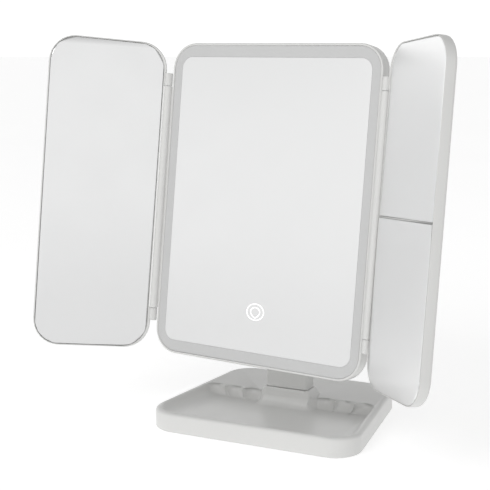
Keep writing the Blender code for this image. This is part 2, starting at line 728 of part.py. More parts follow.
# ---- wings ---------------------------------------------------------------------------------------------
def wing_outline(side, start, end, half_h, radius, steps=CORNER_STEPS):
    """Rounded outline from start to end along the wing, counted from its hinge axis."""
    outline = box_outline((end - start) / 2, half_h, radius, steps, ((start + end) / 2, 0))
    return [(side * x, y) for x, y in outline]


def wing_shell(side, name):
    half_h = WING_HEIGHT / 2
    face, back = -FACE_BACK, -FACE_BACK - WING_THICK

    def loop(inset, z):
        return at_height(wing_outline(side, WING_START + inset, wing_end - inset,
                                      half_h - inset, WING_CORNER - inset), z)

    edge = [loop(inset, back + WING_BACK_ROUND - rise)
            for inset, rise in quarter(WING_BACK_ROUND, 3, 0, 0)]
    front = [loop(0, face - WING_RIM / 2), loop(WING_RIM / 2, face)]
    pocket = [at_height(wing_outline(side, *mirror_span, half_h - WING_RIM,
                                     WING_CORNER - WING_RIM), z)
              for z in (face, mirror_back - GAP)]
    shell = put(name, stack(name, [*reversed(edge), *front, *pocket]), WHITE, wing_frames[side])

    reach = BARREL_LENGTH / 2 + RUNNING
    slot = block(f"{name}_notch", (-notch, -reach, back - GAP), (notch, reach, KNUCKLE_RADIUS))
    combine(shell, put(f"{name}_notch", slot, None, wing_frames[side]))
    for end in (-1, 1):
        label = f"{name}_knuckle_{end}"
        ends = ((0, end * knuckle_low, 0), (0, end * knuckle_high, 0))
        combine(shell, put(label, rod(label, KNUCKLE_RADIUS, *ends), None, wing_frames[side]),
                "UNION")
        label = f"{name}_web_{end}"
        x = side * (mirror_span[0] - BARREL_WALL / 2)
        web = block(label, (min(0, x), min(end * knuckle_low, end * knuckle_high), -KNUCKLE_RADIUS),
                    (max(0, x), max(end * knuckle_low, end * knuckle_high), face - GAP))
        combine(shell, put(label, web, None, wing_frames[side]), "UNION")
        combine(shell, pin_holes[side, end])
    return shell


def wing_mirror(name, side, low, high, proud=0.0):
    """A mirror plate in the wing's pocket between two heights, cut from the full outline."""
    clear = GAP
    start, end = mirror_span[0] + clear, mirror_span[1] - clear
    half_h = WING_HEIGHT / 2 - WING_RIM - clear
    radius = WING_CORNER - WING_RIM - clear
    flat = SMALL_CORNER_STEPS
    bottom = radius if low <= -half_h else GAP * 2
    top = radius if high >= half_h else GAP * 2
    corners = [(end, max(low, -half_h)), (end, min(high, half_h)),
               (start, min(high, half_h)), (start, max(low, -half_h))]
    outline = [(side * x, y) for x, y in
               rounded(corners, [bottom, top, top, bottom], CORNER_STEPS if flat else flat)]
    face = -FACE_BACK - GLASS_SUNK + proud
    plate = stack(name, [at_height(outline, mirror_back), at_height(outline, face)])
    return put(name, plate, MIRROR, wing_frames[side])


mirror_span = (notch + BARREL_WALL, wing_end - WING_RIM)
mirror_back = -FACE_BACK - GLASS_SUNK - MIRROR_THICK
wing_shell(-1, "left_wing_shell")
wing_mirror("left_wing_mirror", -1, -WING_HEIGHT, WING_HEIGHT)
right_shell = wing_shell(1, "right_wing_shell")
divider_low, divider_high = -DIVIDER / 2, DIVIDER / 2
bar = block("divider_bar", (mirror_span[0] - GAP, divider_low, mirror_back - 2 * GAP),
            (mirror_span[1] + GAP, divider_high, -FACE_BACK - GLASS_SUNK / 2))
combine(right_shell, put("divider_bar", bar, None, wing_frames[1]), "UNION")
wing_mirror("right_upper_mirror", 1, divider_high + GAP, WING_HEIGHT)
wing_mirror("right_lower_mirror", 1, -WING_HEIGHT, divider_low - GAP, LOWER_MIRROR_PROUD)


# ---- swivel block and its bolt -----------------------------------------------------------------------------
def swivel_parts():
    """Block that turns on the neck's round top and carries the tilt barrel ahead of it."""
    name = "swivel_block"
    turret = put(name, rod(name, COLLAR_RADIUS, (0, 0, block_low), (0, 0, block_high)),
                 WHITE, swivel_frame)
    turret.modifiers.new("edge", "BEVEL").width = EDGE_ROUND
    turret.modifiers["edge"].limit_method = "ANGLE"
    turret.modifiers["edge"].segments = 2
    foot_y = COLLAR_RADIUS * 0.4
    side_view = lug_outline(TILT_BARREL_RADIUS, (pivot.y, pivot.z),
                            (foot_y, block_high - EDGE_ROUND), (foot_y, block_low + EDGE_ROUND), 14)
    half = TILT_BARREL_LENGTH / 2
    nose = stack("block_nose", [[(x, point[0], point[1]) for point in side_view]
                                for x in (-half, half)])
    combine(turret, put("block_nose", nose, None, swivel_frame), "UNION")
    bore = rod("block_tilt_bore", AXLE_RADIUS + GAP, (-half - GAP, pivot.y, pivot.z),
               (half + GAP, pivot.y, pivot.z))
    combine(turret, put("block_tilt_bore", bore, None, swivel_frame))
    head_seat = block_high - BOLT_HEAD_LENGTH - EDGE_ROUND
    bore = rod("block_bolt_bore", BOLT_RADIUS + GAP, (0, 0, block_low - GAP), (0, 0, block_high))
    combine(turret, put("block_bolt_bore", bore, None, swivel_frame))
    well = rod("block_bolt_well", BOLT_HEAD_RADIUS + GAP, (0, 0, head_seat), (0, 0, block_high + GAP))
    combine(turret, put("block_bolt_well", well, None, swivel_frame))

    seat = head_seat + GAP
    nut_top = CHANNEL_HIGH - GAP
    end = nut_top - NUT_LENGTH - EDGE_ROUND
    profile = [(0, seat + BOLT_HEAD_LENGTH), (BOLT_HEAD_RADIUS * 0.85, seat + BOLT_HEAD_LENGTH),
               (BOLT_HEAD_RADIUS, seat + BOLT_HEAD_LENGTH * 0.7), (BOLT_HEAD_RADIUS, seat),
               (BOLT_RADIUS, seat), (BOLT_RADIUS, end), (0, end)]
    turned("swivel_bolt", profile, STEEL, swivel_frame, (0, 0, 0))

    name = "swivel_nut"
    nut = put(name, rod(name, NUT_RADIUS, (0, 0, nut_top - NUT_LENGTH), (0, 0, nut_top), 6),
              STEEL, swivel_frame)
    bore = rod("swivel_nut_bore", BOLT_RADIUS + GAP, (0, 0, end), (0, 0, nut_top + GAP), SMALL_SIDES)
    combine(nut, put("swivel_nut_bore", bore, None, swivel_frame))

    name = "swivel_washer"
    low, high = NECK_TOP + GAP, NECK_TOP + GAP + WASHER_THICK
    outer, inner = COLLAR_RADIUS - EDGE_ROUND, BOLT_RADIUS + GAP
    loops = [[(radius * math.cos(a), radius * math.sin(a), z) for a in circle_angles]
             for radius, z in ((inner, low), (outer, low), (outer, high), (inner, high))]
    put(name, stack(name, loops, ring=True), NYLON, swivel_frame)


swivel_parts()


# ---- neck ---------------------------------------------------------------------------------------------------
def neck():
    """Flat-fronted column that plugs into the base and turns into a round collar at its top."""
    def section(half_w, half_d, radius, z):
        return at_height(box_outline(half_w, half_d, radius, 6, (0, neck_y)), z)

    half_w, half_d = NECK_WIDTH / 2, NECK_DEPTH / 2
    seat = PEDESTAL_TOP + GAP
    rise = NECK_TOP - CHANNEL_HIGH
    loops = [section(PLUG_WIDTH / 2, PLUG_DEPTH / 2, NECK_CORNER * 0.8, plug_bottom),
             section(PLUG_WIDTH / 2, PLUG_DEPTH / 2, NECK_CORNER * 0.8, seat),
             section(half_w, half_d, NECK_CORNER, seat),
             section(half_w, half_d, NECK_CORNER, CHANNEL_HIGH + GAP)]
    for step in range(1, 7):
        share = step / 6
        ease = share * share * (3 - 2 * share)
        wide = half_w + (COLLAR_RADIUS - half_w) * ease
        deep = half_d + (COLLAR_RADIUS - half_d) * ease
        corner = NECK_CORNER + (COLLAR_RADIUS * 0.999 - NECK_CORNER) * ease
        loops.append(section(wide, deep, min(corner, deep * 0.999, wide * 0.999),
                             CHANNEL_HIGH + rise * (0.1 + 0.75 * share)))
    loops.append(section(COLLAR_RADIUS, COLLAR_RADIUS, COLLAR_RADIUS * 0.999, NECK_TOP))
    column = put("neck_column", stack("neck_column", loops), WHITE)

    rear = neck_y + half_d
    half = CHANNEL_WIDTH / 2
    channel = block("neck_channel", (-half, NECK_FRONT + NECK_DEPTH * 0.15, CHANNEL_LOW),
                    (half, rear + GAP, CHANNEL_HIGH))
    combine(column, put("neck_channel", channel, None))
    inner = rear - NECK_COVER_THICK
    lip = half + NECK_COVER_LIP
    cover_low, cover_high = CHANNEL_LOW - NECK_COVER_LIP, CHANNEL_HIGH - GAP
    seat = block("neck_cover_seat", (-lip - GAP, inner - GAP, cover_low - GAP),
                 (lip + GAP, rear + GAP, cover_high + GAP / 2))
    combine(column, put("neck_cover_seat", seat, None))
    name = "neck_rear_cover"
    put(name, block(name, (-lip, inner, cover_low), (lip, rear, cover_high - GAP / 2)), WHITE)

    bore = rod("neck_bolt_bore", BOLT_RADIUS + GAP, (0, neck_y, CHANNEL_HIGH - GAP),
               (0, neck_y, NECK_TOP + GAP))
    combine(column, put("neck_bolt_bore", bore, None))
    hole = rod("neck_screw_bore", NECK_SCREW_RADIUS + GAP, (0, neck_y, plug_bottom - GAP),
               (0, neck_y, tray_roof + NECK_SCREW_LENGTH + GAP), SMALL_SIDES)
    combine(column, put("neck_screw_bore", hole, None))


neck()


# ---- base ------------------------------------------------------------------------------------------------------
def side_x(y, inset=0.0):
    """Half-width of the tapered base at y, less an inset."""
    share = (y + BASE_DEPTH / 2) / BASE_DEPTH
    return (BASE_FRONT_WIDTH + (BASE_BACK_WIDTH - BASE_FRONT_WIDTH) * share) / 2 - inset


def base_corners(inset=0.0):
    front, back = -BASE_DEPTH / 2 + inset, BASE_DEPTH / 2 - inset
    return [(side_x(front, inset), front), (side_x(back, inset), back),
            (-side_x(back, inset), back), (-side_x(front, inset), front)]


def base_loop(inset, z):
    near, far = BASE_FRONT_CORNER - inset, BASE_BACK_CORNER - inset
    return at_height(rounded(base_corners(inset), [near, far, far, near]), z)


def scallops(side, outer_x, forward, depth):
    """Plan of one scalloped wall, from its outer end to the pedestal."""
    inner_x = PEDESTAL_WIDTH / 2 + forward
    points = []
    for lobe in range(SCALLOPS):
        for step in range(6):
            angle = math.pi * step / 6
            along = (lobe + (1 - math.cos(angle)) / 2) / SCALLOPS
            x = outer_x + (inner_x - outer_x) * along
            points.append((side * x, WALL_Y - forward + depth * math.sin(angle)))
    points.append((side * inner_x, WALL_Y - forward + depth * 0.4))
    return points


def tray_level(inset, lift, forward, scalloped, above=None):
    """One level of the storage tray's space: rounded front and sides, scalloped rear walls
    and, between them, the neck's pedestal. forward is the fillet at the walls' feet."""
    front = -BASE_DEPTH / 2 + inset
    radius = BASE_FRONT_CORNER - inset
    rear_x = side_x(WALL_Y, inset)
    corners = [(-rear_x, WALL_Y), (-side_x(front, inset), front),
               (side_x(front, inset), front), (rear_x, WALL_Y)]
    arcs = rounded(corners, [GAP, radius, radius, GAP])
    count = CORNER_STEPS + 1
    plan = [tuple(point) for point in arcs[count:3 * count]]
    depth = SCALLOP_DEPTH * scalloped
    nose_x = NECK_WIDTH / 2 + PEDESTAL_RIM
    nose_y = NECK_FRONT - PEDESTAL_RIM
    plan += scallops(1, rear_x, forward * 0.25, depth)
    plan += [(nose_x + forward * 0.6, nose_y - forward * 0.7), (nose_x * 0.9, nose_y - forward),
             (-nose_x * 0.9, nose_y - forward), (-nose_x - forward * 0.6, nose_y - forward * 0.7)]
    plan += list(reversed(scallops(-1, rear_x, forward * 0.25, depth)))
    points = []
    for x, y in plan:
        share = (y - front) / (WALL_Y - front)
        floor = FLOOR_FRONT + (FLOOR_BACK - FLOOR_FRONT) * min(share, 1.0)
        points.append((x, y, above or floor + lift * (BASE_HEIGHT - floor)))
    return points


def base_tray():
    low = BASE_LIFT
    edge = [base_loop(inset, BASE_HEIGHT - BASE_EDGE + rise)
            for inset, rise in quarter(BASE_EDGE, 3, 0, 0)]
    loops = [base_loop(GAP * 2, low), base_loop(0, low + GAP * 2), *edge]
    tray = put("base_tray", stack("base_tray", loops), WHITE)

    def collar(half_w, front, back, z):
        outline = box_outline(half_w, (back - front) / 2, NECK_CORNER, 4, (0, (front + back) / 2))
        return at_height(outline, z)

    wide = NECK_WIDTH / 2 + PEDESTAL_RIM
    front, back = NECK_FRONT - PEDESTAL_RIM, NECK_FRONT + NECK_DEPTH + PEDESTAL_RIM
    flare = PEDESTAL_WIDTH / 2 - wide
    soft = EDGE_ROUND / 2
    levels = [collar(wide + flare, front, back + flare, BASE_HEIGHT - BASE_EDGE),
              collar(wide + flare / 2, front, back + flare / 2, BASE_HEIGHT + BASE_EDGE / 3),
              collar(wide + flare / 6, front, back + flare / 6, PEDESTAL_TOP - BASE_EDGE),
              collar(wide, front, back, PEDESTAL_TOP - soft),
              collar(wide - soft, front + soft, back - soft, PEDESTAL_TOP)]
    combine(tray, put("neck_pedestal", stack("neck_pedestal", levels), None), "UNION")

    fillet = PEDESTAL_FILLET
    space = [tray_level(RIM_WIDTH + 0.0100, 0.00, fillet, 0.35),
             tray_level(RIM_WIDTH + 0.0055, 0.10, fillet * 0.55, 0.50),
             tray_level(RIM_WIDTH + 0.0028, 0.30, fillet * 0.25, 0.75),
             tray_level(RIM_WIDTH + 0.0008, 0.65, fillet * 0.06, 0.95),
             tray_level(RIM_WIDTH, 1.02, 0.0, 1.0),
             tray_level(RIM_WIDTH, 0.0, 0.0, 1.0, PEDESTAL_TOP + EDGE_ROUND)]
    combine(tray, put("tray_space", stack("tray_space", space), None))

    socket = box_outline(PLUG_WIDTH / 2 + GAP, PLUG_DEPTH / 2 + GAP, NECK_CORNER * 0.8, 6, (0, neck_y))
    loops = [at_height(socket, plug_bottom - GAP), at_height(socket, PEDESTAL_TOP + GAP * 2)]
    combine(tray, put("neck_socket", stack("neck_socket", loops), None))

    rebate = [base_loop(PLATE_INSET - GAP, 0), base_loop(PLATE_INSET - GAP, weight_low)]
    combine(tray, put("plate_rebate", stack("plate_rebate", rebate), None))
    pocket = [base_loop(WEIGHT_INSET - GAP, 0), base_loop(WEIGHT_INSET - GAP, tray_roof)]
    combine(tray, put("weight_pocket", stack("weight_pocket", pocket), None))
    hole = rod("socket_floor_hole", NECK_SCREW_RADIUS + GAP, (0, neck_y, 0),
               (0, neck_y, plug_bottom), SMALL_SIDES)
    combine(tray, put("socket_floor_hole", hole, None))
    for i, (x, y) in enumerate(base_screw_places):
        name = f"tray_screw_hole_{i + 1}"
        hole = rod(name, SCREW_RADIUS + GAP, (x, y, 0), (x, y, base_screw_top + GAP), SMALL_SIDES)
        combine(tray, put(name, hole, None))


def underside():
    plate = put("base_bottom_plate", stack("base_bottom_plate", [
        base_loop(PLATE_INSET, plate_low), base_loop(PLATE_INSET, plate_high)]), WHITE)
    for i, (x, y) in enumerate(base_screw_places):
        name = f"plate_hole_{i + 1}"
        hole = rod(name, SCREW_RADIUS + GAP, (x, y, 0), (x, y, plate_high + GAP), SMALL_SIDES)
        combine(plate, put(name, hole, None))
        name = f"plate_sink_{i + 1}"
        sink = rod(name, SCREW_HEAD_RADIUS + GAP, (x, y, 0), (x, y, base_screw_seat), SMALL_SIDES)
        combine(plate, put(name, sink, None))
        screw(f"base_screw_{i + 1}", None, (x, y, base_screw_seat - GAP), (math.pi, 0, 0),
              base_screw_top - base_screw_seat)

    weight = put("base_weight", stack("base_weight", [
        base_loop(WEIGHT_INSET, weight_low), base_loop(WEIGHT_INSET, weight_high)]), STEEL)
    hole = rod("weight_hole", NECK_SCREW_HEAD_RADIUS + GAP, (0, neck_y, 0),
               (0, neck_y, weight_high + GAP))
    combine(weight, put("weight_hole", hole, None))
    put("non_slip_pad", stack("non_slip_pad", [
        base_loop(PAD_INSET, 0), base_loop(PAD_INSET, PAD_THICK)]), RUBBER)
    screw("neck_screw", None, (0, neck_y, tray_roof - GAP), (math.pi, 0, 0), NECK_SCREW_LENGTH,
          NECK_SCREW_RADIUS, NECK_SCREW_HEAD_RADIUS)


def screw_places():
    """One in each corner of the base, the same distance in from the middle of its arc."""
    arcs = rounded(base_corners(), [BASE_FRONT_CORNER, BASE_BACK_CORNER,
                                    BASE_BACK_CORNER, BASE_FRONT_CORNER])
    places = []
    for corner, (x, y) in enumerate(base_corners()):
        middle = arcs[corner * (CORNER_STEPS + 1) + CORNER_STEPS // 2]
        inwards = (middle - Vector((x, y))).normalized()
        places.append(tuple(middle + inwards * BASE_SCREW_INSET))
    return places


base_screw_places = screw_places()
base_screw_seat = plate_low + SCREW_HEAD_LENGTH * 0.4
base_screw_top = BASE_HEIGHT * 0.62
base_tray()
underside()
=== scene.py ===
"""Looks for the tri-fold lighted vanity mirror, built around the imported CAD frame."""

import json
import math

import bmesh
import bpy
from mathutils import Matrix, Vector


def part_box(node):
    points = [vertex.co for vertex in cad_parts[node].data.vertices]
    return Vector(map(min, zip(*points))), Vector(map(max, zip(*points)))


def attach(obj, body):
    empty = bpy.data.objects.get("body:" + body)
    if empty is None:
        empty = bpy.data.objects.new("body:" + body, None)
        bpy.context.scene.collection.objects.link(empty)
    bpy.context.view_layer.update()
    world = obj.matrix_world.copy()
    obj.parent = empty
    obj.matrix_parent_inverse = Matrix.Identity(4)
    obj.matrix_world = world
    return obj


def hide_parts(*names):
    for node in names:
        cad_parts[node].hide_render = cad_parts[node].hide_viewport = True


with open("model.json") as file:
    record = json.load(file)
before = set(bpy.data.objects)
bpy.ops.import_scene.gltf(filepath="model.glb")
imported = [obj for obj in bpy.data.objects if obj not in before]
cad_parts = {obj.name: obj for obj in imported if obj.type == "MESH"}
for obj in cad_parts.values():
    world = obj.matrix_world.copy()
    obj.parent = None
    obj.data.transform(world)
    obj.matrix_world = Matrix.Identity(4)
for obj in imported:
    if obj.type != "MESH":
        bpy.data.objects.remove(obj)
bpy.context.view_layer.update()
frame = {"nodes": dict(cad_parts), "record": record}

nodes = frame["nodes"]
joints = {joint["name"]: joint for joint in frame["record"]["behaviour"]["joints"]}

# ---- sizes that the looks add to the CAD's own, in metres ----------------------------
GLASS_HALF = (0.09138, 0.12333)
GLASS_CORNER = 0.0176
SILVER_HALF = (0.0845, 0.1145)
SILVER_CORNER = 0.0090
GLASS_FACE = -0.0007
GLASS_BACK = -0.0027
GLASS_EASE = 0.00006
ETCH_LINE = 0.00012
MERGE_SLIVERS = 0.00002
ICON_BELOW = 0.0826
ICON_SQUAT = 0.84
RING = (0.0071, 0.0080)
DROP_INSIDE = (0.0037, 0.0049)
DROP_OUTSIDE = (0.0046, 0.0060)
SCREW_HEAD = 0.0014

# ---- studio: floor, room tones, camera and lamps (name, place, aim, width, watts) ----
FLOOR_RADIUS = 30.0
FLOOR_GLOW = 0.50
ROOM_WALL = 1.24
ROOM_CEILING = 0.40
ROOM_RISE = (0.16, 0.80)
SHADED_SIDE = (0.9, 0.4, 0.0)
SHADED_LEVEL = 0.50
BACK_SIDE = (-0.3, 0.95, 0.0)
BACK_LEVEL = 0.87
CAMERA_LENS = 83.63
CAMERA_PLACE = (0.35413, -0.82441, 0.30122)
CAMERA_TURN = (math.pi / 2 - 0.17401, 0, 0.44039)
LAMPS = (("key", (-0.4, -1.6, 1.35), (0, 0, 0.10), 1.1, 8),)


# ---- places from the joints ----------------------------------------------------------
def axes_matrix(x_axis, y_axis, origin):
    z_axis = x_axis.cross(y_axis)
    turn = Matrix((x_axis, y_axis, z_axis)).transposed().to_4x4()
    return Matrix.Translation(origin) @ turn


left_pin = Vector(joints["left_wing_fold"]["pos_m"])
right_pin = Vector(joints["right_wing_fold"]["pos_m"])
panel_right = (right_pin - left_pin).normalized()
panel_up = Vector(joints["left_wing_fold"]["axis"]).normalized()
panel = axes_matrix(panel_right, panel_up, (left_pin + right_pin) / 2)


# ---- materials -----------------------------------------------------------------------
def new_material(name):
    made = bpy.data.materials.new(name)
    made.use_nodes = True
    tree = made.node_tree
    return made, tree, tree.nodes["Principled BSDF"]


def object_noise(tree, scale, detail=3.0, roughness=0.5, stretch=(1, 1, 1)):
    """Noise on Object coordinates; the output runs from 0 to 1."""
    place = tree.nodes.new("ShaderNodeTexCoord")
    mapping = tree.nodes.new("ShaderNodeMapping")
    mapping.inputs["Scale"].default_value = stretch
    noise = tree.nodes.new("ShaderNodeTexNoise")
    noise.inputs["Scale"].default_value = scale
    noise.inputs["Detail"].default_value = detail
    noise.inputs["Roughness"].default_value = roughness
    tree.links.new(place.outputs["Object"], mapping.inputs["Vector"])
    tree.links.new(mapping.outputs["Vector"], noise.inputs["Vector"])
    return noise.outputs["Fac"]


def ramp(tree, factor, low, high, start=0.3, end=0.7):
    """Turns a factor into a colour between two others."""
    made = tree.nodes.new("ShaderNodeValToRGB")
    made.color_ramp.elements[0].position = start
    made.color_ramp.elements[1].position = end
    made.color_ramp.elements[0].color = (*low, 1)
    made.color_ramp.elements[1].color = (*high, 1)
    tree.links.new(factor, made.inputs["Fac"])
    return made.outputs["Color"]


def between(tree, factor, source, target):
    made = tree.nodes.new("ShaderNodeMapRange")
    made.inputs["From Min"].default_value = source[0]
    made.inputs["From Max"].default_value = source[1]
    made.inputs["To Min"].default_value = target[0]
    made.inputs["To Max"].default_value = target[1]
    tree.links.new(factor, made.inputs["Value"])
    return made.outputs["Result"]


def spread(tree, factor, low, high):
    return between(tree, factor, (0.3, 0.7), (low, high))


def combine(tree, operation, first, second):
    made = tree.nodes.new("ShaderNodeMath")
    made.operation = operation
    for socket, value in zip(made.inputs, (first, second)):
        if isinstance(value, float):
            socket.default_value = value
        else:
            tree.links.new(value, socket)
    return made.outputs["Value"]


def bump(tree, shader, height, strength, distance):
    made = tree.nodes.new("ShaderNodeBump")
    made.inputs["Strength"].default_value = strength
    made.inputs["Distance"].default_value = distance
    tree.links.new(height, made.inputs["Height"])
    tree.links.new(made.outputs["Normal"], shader.inputs["Normal"])


def moulded(name, colour, roughness, grain=0.25, coat=0.0):
    """Satin moulded plastic: faint flow tone, uneven polish and a fine spark-eroded grain."""
    made, tree, shader = new_material(name)
    tone = object_noise(tree, 14)
    darker = tuple(channel * 0.975 for channel in colour)
    tree.links.new(ramp(tree, tone, darker, colour), shader.inputs["Base Color"])
    polish = object_noise(tree, 60)
    tree.links.new(spread(tree, polish, roughness * 0.88, roughness * 1.12),
                   shader.inputs["Roughness"])
    bump(tree, shader, object_noise(tree, 2600, 1.0), grain, 0.00003)
    shader.inputs["IOR"].default_value = 1.5
    shader.inputs["Coat Weight"].default_value = coat
    return made


def silvered(name, colour, haze_range=(0.19, 0.23)):
    """Silvered float glass with a soft haze, so it shows the room's tones and no sharp image."""
    made, tree, shader = new_material(name)
    tone = object_noise(tree, 5)
    dimmer = tuple(channel * 0.985 for channel in colour)
    tree.links.new(ramp(tree, tone, dimmer, colour), shader.inputs["Base Color"])
    haze = object_noise(tree, 30)
    tree.links.new(spread(tree, haze, *haze_range), shader.inputs["Roughness"])
    shader.inputs["Metallic"].default_value = 1.0
    return made


def frosted(name, colour, painted_emission=0.0):
    """Acid-etched glass over a diffuser, with an even painted glow of the given strength in
    place of light.
    """
    made, tree, shader = new_material(name)
    tone = object_noise(tree, 40)
    darker = tuple(channel * 0.98 for channel in colour)
    tree.links.new(ramp(tree, tone, darker, colour), shader.inputs["Base Color"])
    frost = object_noise(tree, 900)
    tree.links.new(spread(tree, frost, 0.42, 0.58), shader.inputs["Roughness"])
    bump(tree, shader, object_noise(tree, 4000, 1.0), 0.2, 0.00002)
    shader.inputs["Emission Color"].default_value = (1, 1, 1, 1)
    shader.inputs["Emission Strength"].default_value = painted_emission
    return made


def plated(name, colour, roughness=0.28):
    """Zinc-plated steel with fine turned lines."""
    made, tree, shader = new_material(name)
    tone = object_noise(tree, 300, stretch=(1, 1, 8))
    darker = tuple(channel * 0.8 for channel in colour)
    tree.links.new(ramp(tree, tone, darker, colour), shader.inputs["Base Color"])
    tree.links.new(spread(tree, tone, roughness * 0.8, roughness * 1.3),
                   shader.inputs["Roughness"])
    shader.inputs["Metallic"].default_value = 1.0
    bump(tree, shader, tone, 0.15, 0.00003)
    return made


def rubbery(name, colour):
    made, tree, shader = new_material(name)
    tone = object_noise(tree, 200)
    lighter = tuple(min(1, channel * 1.4) for channel in colour)
    tree.links.new(ramp(tree, tone, colour, lighter), shader.inputs["Base Color"])
    tree.links.new(spread(tree, tone, 0.75, 0.9), shader.inputs["Roughness"])
    bump(tree, shader, object_noise(tree, 1500, 2.0), 0.5, 0.00008)
    return made


white = moulded("white_satin_abs", (0.655, 0.655, 0.643), 0.32)
white_soft = moulded("white_matt_abs", (0.64, 0.64, 0.628), 0.45, 0.4)
hinge_white = moulded("hinge_white_abs", (0.64, 0.64, 0.628), 0.35)
silver = silvered("silvered_glass", (0.69, 0.692, 0.692))
# Painted brighter: this copy of the silvered glass gets a lighter colour than the main and left
# mirrors, so the right wing's mirrors read brighter. Its wider haze is roughness.
silver_soft_painted_brighter = silvered("silvered_glass_soft_painted_brighter", (0.92, 0.922, 0.922), (0.33, 0.37))
frost = frosted("etched_light_band", (0.53, 0.532, 0.53))
# Painted glow: the touch mark gets a faint emission of its own so that it reads lighter. No lamp
# lights it, and the light band beside it has none.
etched_mark_painted_emission = frosted("etched_touch_mark_painted_emission", (0.95, 0.95, 0.95), 0.3)
steel = plated("zinc_plated_steel", (0.60, 0.61, 0.62))
nylon = moulded("natural_nylon", (0.72, 0.71, 0.66), 0.5)
rubber = rubbery("non_slip_rubber", (0.035, 0.035, 0.036))
sleeve = moulded("battery_sleeve", (0.05, 0.12, 0.26), 0.3, 0.1)
board_green = moulded("board_green", (0.02, 0.12, 0.05), 0.45, 0.6)
plate_white = moulded("reflector_white", (0.78, 0.78, 0.76), 0.6)


# ---- mesh tools ----------------------------------------------------------------------
def keep(name, bm, surface, matrix=None, smooth_angle=35):
    """Turns bmesh work into a finished object at the origin, with its place in its mesh."""
    bmesh.ops.remove_doubles(bm, verts=bm.verts, dist=1e-7)
    bmesh.ops.recalc_face_normals(bm, faces=bm.faces)
    if matrix:
        bm.transform(matrix)
    mesh = bpy.data.meshes.new(name)
    bm.to_mesh(mesh)
    bm.free()
    mesh.shade_smooth()
    mesh.set_sharp_from_angle(angle=math.radians(smooth_angle))
    mesh.materials.append(surface)
    made = bpy.data.objects.new(name, mesh)
    bpy.context.scene.collection.objects.link(made)
    return made


def settle(made):
    """Bakes an object's modifiers into its mesh."""
    graph = bpy.context.evaluated_depsgraph_get()
    graph.update()
    mesh = bpy.data.meshes.new_from_object(made.evaluated_get(graph), depsgraph=graph)
    made.modifiers.clear()
    made.data = mesh
    return made


def arc_box(half_w, half_h, radius, steps=16):
    """Counter-clockwise outline of a box with rounded corners."""
    points = []
    for cx, cy, start in ((half_w, -half_h, -90), (half_w, half_h, 0),
                          (-half_w, half_h, 90), (-half_w, -half_h, 180)):
        middle = Vector((cx - math.copysign(radius, cx), cy - math.copysign(radius, cy)))
        for step in range(steps + 1):
            angle = math.radians(start + 90 * step / steps)
            points.append(middle + radius * Vector((math.cos(angle), math.sin(angle))))
    return points


def circle(radius, centre=(0, 0), steps=48):
    return [Vector((centre[0] + radius * math.cos(2 * math.pi * i / steps),
                    centre[1] + radius * math.sin(2 * math.pi * i / steps)))
            for i in range(steps)]


def skin(loops, ring=False):
    """A solid over loops of (outline, z)."""
    bm = bmesh.new()
    rows = [[bm.verts.new((point[0], point[1], z)) for point in outline] for outline, z in loops]
    if ring:
        rows.append(rows[0])
    for low, high in zip(rows, rows[1:]):
        for i, corner in enumerate(low):
            bm.faces.new((low[i - 1], corner, high[i], high[i - 1]))
    if not ring:
        bm.faces.new(rows[0])
        bm.faces.new(rows[-1])
    return bm


def smoothed(node, body, surface, angle=32):
    """The CAD node's own shape with merged points and clean, area-weighted shading."""
    bm = bmesh.new()
    bm.from_mesh(nodes[node].data)
    bmesh.ops.remove_doubles(bm, verts=bm.verts, dist=2e-6)
    bmesh.ops.dissolve_degenerate(bm, edges=bm.edges, dist=MERGE_SLIVERS)
    mesh = bpy.data.meshes.new(node + "_look")
    bm.to_mesh(mesh)
    bm.free()
    mesh.shade_smooth()
    mesh.set_sharp_from_angle(angle=math.radians(angle))
    mesh.materials.clear()
    mesh.materials.append(surface)
    made = bpy.data.objects.new(node + "_look", mesh)
    bpy.context.scene.collection.objects.link(made)
    weigh = made.modifiers.new("weigh", "WEIGHTED_NORMAL")
    weigh.keep_sharp = True
    settle(made)
    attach(made, body)
    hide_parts(node)
    return made


# ---- shells and mirrors that keep their CAD shape ------------------------------------
for node, body, surface in (
        ("base_tray", "base", white), ("neck_column", "base", white_soft),
        ("neck_rear_cover", "base", white_soft), ("base_bottom_plate", "base", white_soft),
        ("head_front_frame", "head", white), ("head_rear_cover", "head", white),
        ("battery_door", "battery_door", white_soft), ("tilt_bracket", "head", hinge_white),
        ("swivel_block", "swivel", hinge_white), ("left_wing_shell", "left_wing", white),
        ("right_wing_shell", "right_wing", white)):
    smoothed(node, body, surface)
# The right wing's mirrors take the painted brighter copy of the silvered glass.
for node, body, surface in (("left_wing_mirror", "left_wing", silver),
                            ("right_upper_mirror", "right_wing", silver_soft_painted_brighter),
                            ("right_lower_mirror", "right_wing", silver_soft_painted_brighter)):
    smoothed(node, body, surface)

finishes = {"white_shell": white, "mirror_glass": silver, "diffuser_plastic": frost,
            "reflector_plastic": plate_white, "circuit_board": board_green, "nylon": nylon,
            "steel": steel, "battery_sleeve": sleeve, "rubber_pad": rubber}
for entry in frame["record"]["subparts"]:
    mesh = nodes[entry["node"]].data
    for i in range(len(mesh.materials)):
        mesh.materials[i] = finishes[entry["material_slot"]]


